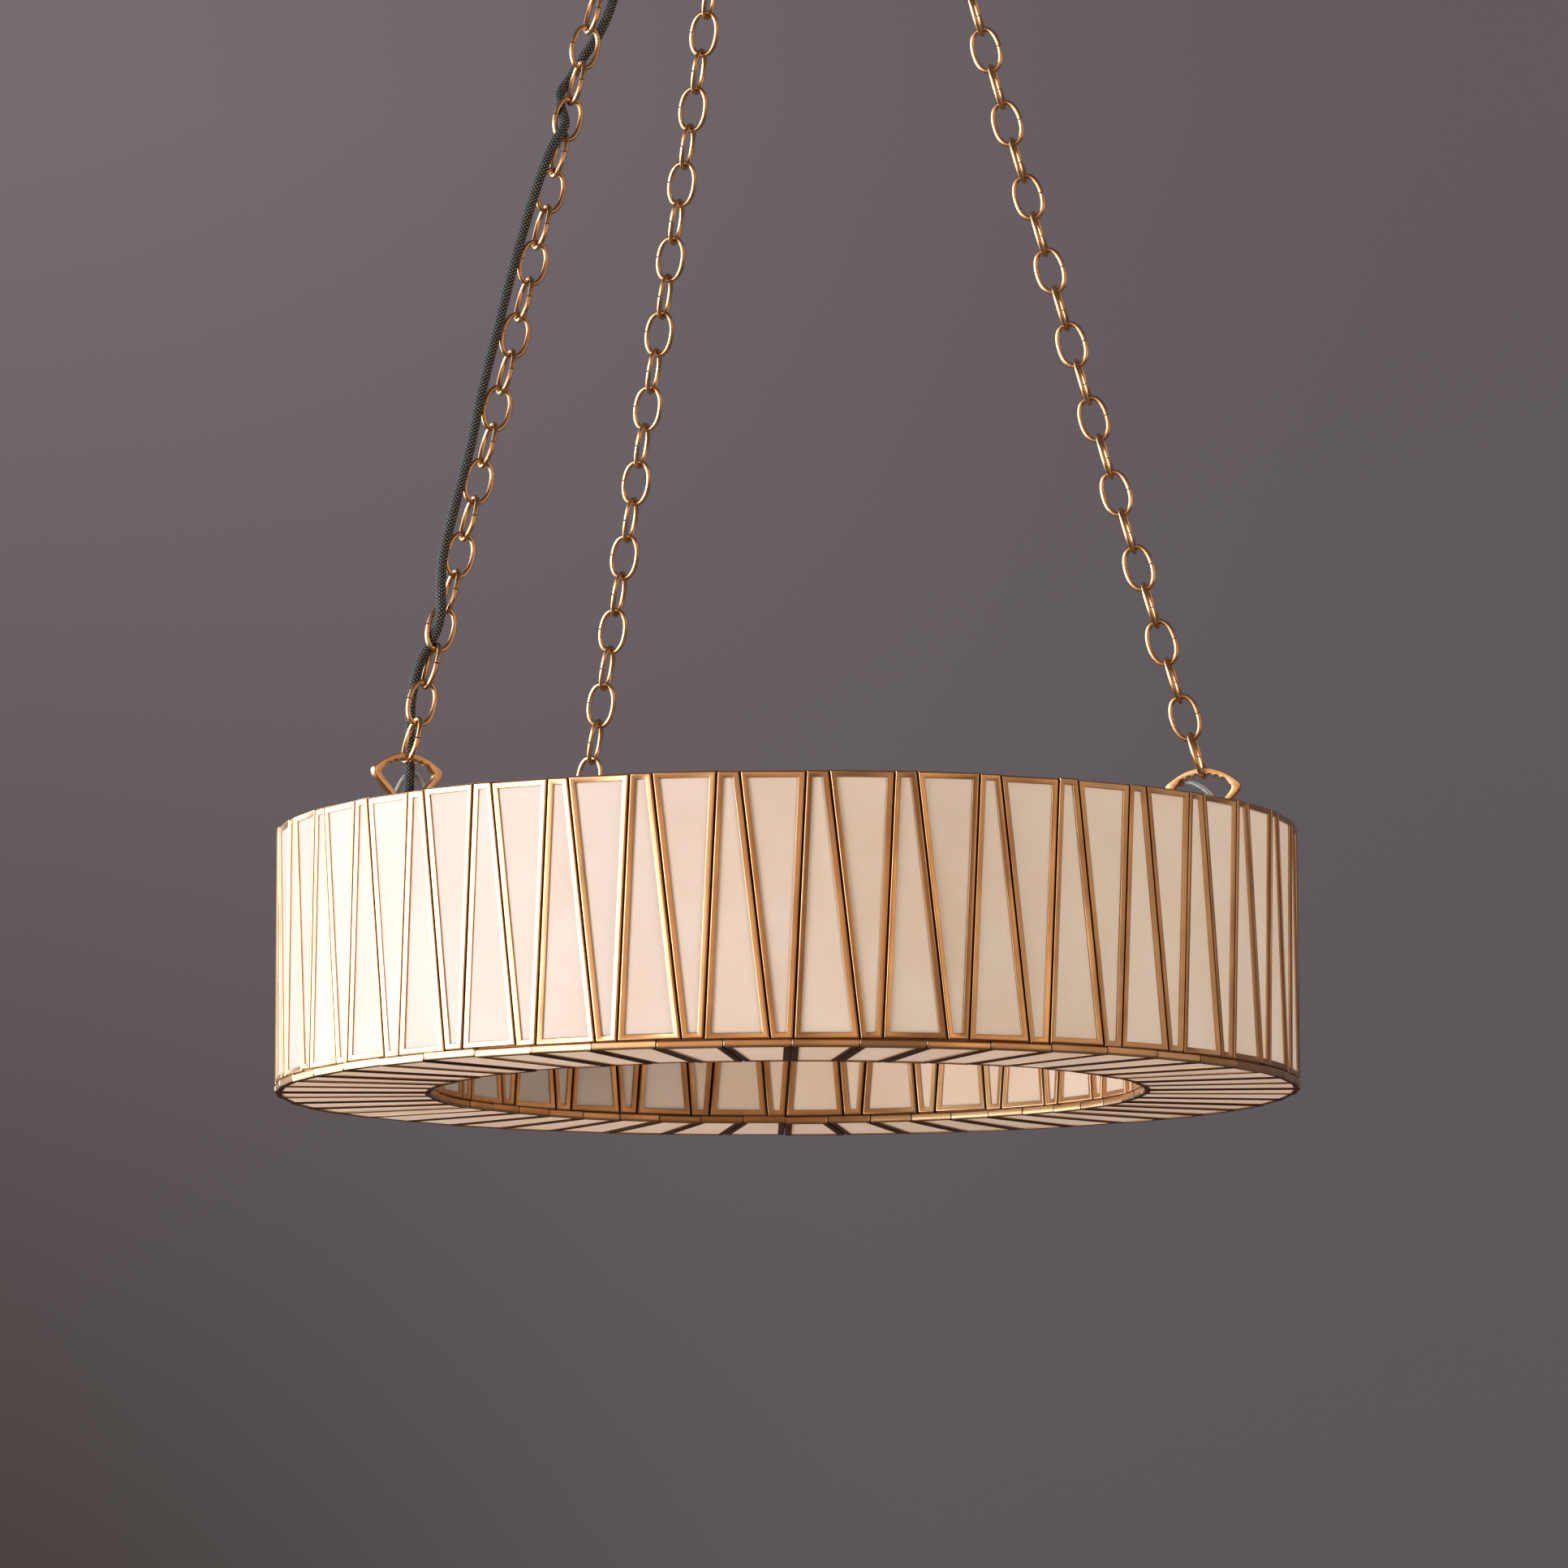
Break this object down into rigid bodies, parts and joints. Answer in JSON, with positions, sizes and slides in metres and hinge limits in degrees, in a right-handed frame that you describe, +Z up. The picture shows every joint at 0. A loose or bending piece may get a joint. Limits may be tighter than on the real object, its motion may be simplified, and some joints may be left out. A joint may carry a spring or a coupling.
{
  "type": "ring chandelier",
  "caption": "Ring chandelier of milk glass panes in brass came, hung by notched hangers and link chains from a hub plate and a ceiling canopy.",
  "frame": {"origin": "on the ceiling face, over the middle of the ring, at the top of the ceiling crossbar", "axes": "+Z up to the ceiling, -Y towards the pictured side, +X to the viewer's right"},
  "size_m": [0.762, 0.762, 1.1359],
  "materials": {
    "brass": "antique, brushed",
    "came": "antique, soldered",
    "dark_brass": "dull",
    "steel": "zinc plated",
    "milk_glass": "milk white, satin",
    "bulb_glass": "frosted",
    "porcelain": "glazed porcelain",
    "black_plastic": "moulded",
    "white_plastic": "moulded",
    "braid": "herringbone braid"
  },
  "bodies": {
    "ceiling_fixing": {"ceiling_crossbar": "steel", "box_screw_left": "steel", "box_screw_right": "steel", "hanger_stem": "steel", "stem_locknut": "steel", "terminal_block": "white_plastic", "canopy_loop": "brass"},
    "canopy_cover": {"canopy": "brass", "canopy_bushing": "black_plastic"},
    "screw_collar": {"canopy_collar": "brass"},
    "top_link": {"suspension_link": "brass"},
    "hanging_ring": {"hub_loop": "brass", "hub_loop_nut": "brass", "hub_plate": "brass", "hub_eye_left": "brass", "chain_left": "brass", "hanger_loop_left": "brass", "hanger_nut_left": "brass", "hub_eye_right": "brass", "chain_right": "brass", "hanger_loop_right": "brass", "hanger_nut_right": "brass", "hub_eye_back": "brass", "chain_back": "brass", "hanger_loop_back": "brass", "hanger_nut_back": "brass", "outer_came": "came", "inner_came": "came", "bottom_came": "came", "top_frame": "dark_brass", "outer_glass_1": "milk_glass", "outer_glass_2": "milk_glass", "outer_glass_3": "milk_glass", "outer_glass_4": "milk_glass", "inner_glass_1": "milk_glass", "inner_glass_2": "milk_glass", "bottom_glass_1": "milk_glass", "bottom_glass_2": "milk_glass", "bottom_glass_3": "milk_glass", "lamp_socket_1": "porcelain", "lamp_socket_2": "porcelain", "lamp_socket_3": "porcelain", "lamp_socket_4": "porcelain", "lamp_socket_5": "porcelain", "lamp_socket_6": "porcelain", "lamp_socket_7": "porcelain", "lamp_socket_8": "porcelain", "hub_bushing": "black_plastic", "flex_gland": "black_plastic", "junction_block": "white_plastic", "wiring_harness": "white_plastic", "supply_flex": "braid"},
    "bulb_1": {"bulb_1": "bulb_glass"},
    "bulb_2": {"bulb_2": "bulb_glass"},
    "bulb_3": {"bulb_3": "bulb_glass"},
    "bulb_4": {"bulb_4": "bulb_glass"},
    "bulb_5": {"bulb_5": "bulb_glass"},
    "bulb_6": {"bulb_6": "bulb_glass"},
    "bulb_7": {"bulb_7": "bulb_glass"},
    "bulb_8": {"bulb_8": "bulb_glass"}
  },
  "joints": [
    {"name": "sway_fore_aft", "type": "hinge", "parent": "ceiling_fixing", "child": "top_link", "pos_m": [0, 0, -0.056], "axis": [1, 0, 0], "range_deg": [-6, 6]},
    {"name": "sway_side", "type": "hinge", "parent": "top_link", "child": "hanging_ring", "pos_m": [0, 0, -0.0772], "axis": [0, 1, 0], "range_deg": [-6, 6]},
    {"name": "canopy_drop", "type": "slide", "parent": "ceiling_fixing", "child": "canopy_cover", "axis": [0, 0, -1], "range_m": [0, 0.024]},
    {"name": "collar_turn", "type": "hinge", "parent": "canopy_cover", "child": "screw_collar", "pos_m": [0, 0, -0.031], "axis": [0, 0, 1], "continuous": true},
    {"name": "bulb_1_out", "type": "slide", "parent": "hanging_ring", "child": "bulb_1", "axis": [0, 0, -1], "range_m": [0, 0.026]},
    {"name": "bulb_2_out", "type": "slide", "parent": "hanging_ring", "child": "bulb_2", "axis": [0, 0, -1], "range_m": [0, 0.026]},
    {"name": "bulb_3_out", "type": "slide", "parent": "hanging_ring", "child": "bulb_3", "axis": [0, 0, -1], "range_m": [0, 0.026]},
    {"name": "bulb_4_out", "type": "slide", "parent": "hanging_ring", "child": "bulb_4", "axis": [0, 0, -1], "range_m": [0, 0.026]},
    {"name": "bulb_5_out", "type": "slide", "parent": "hanging_ring", "child": "bulb_5", "axis": [0, 0, -1], "range_m": [0, 0.026]},
    {"name": "bulb_6_out", "type": "slide", "parent": "hanging_ring", "child": "bulb_6", "axis": [0, 0, -1], "range_m": [0, 0.026]},
    {"name": "bulb_7_out", "type": "slide", "parent": "hanging_ring", "child": "bulb_7", "axis": [0, 0, -1], "range_m": [0, 0.026]},
    {"name": "bulb_8_out", "type": "slide", "parent": "hanging_ring", "child": "bulb_8", "axis": [0, 0, -1], "range_m": [0, 0.026]}
  ]
}
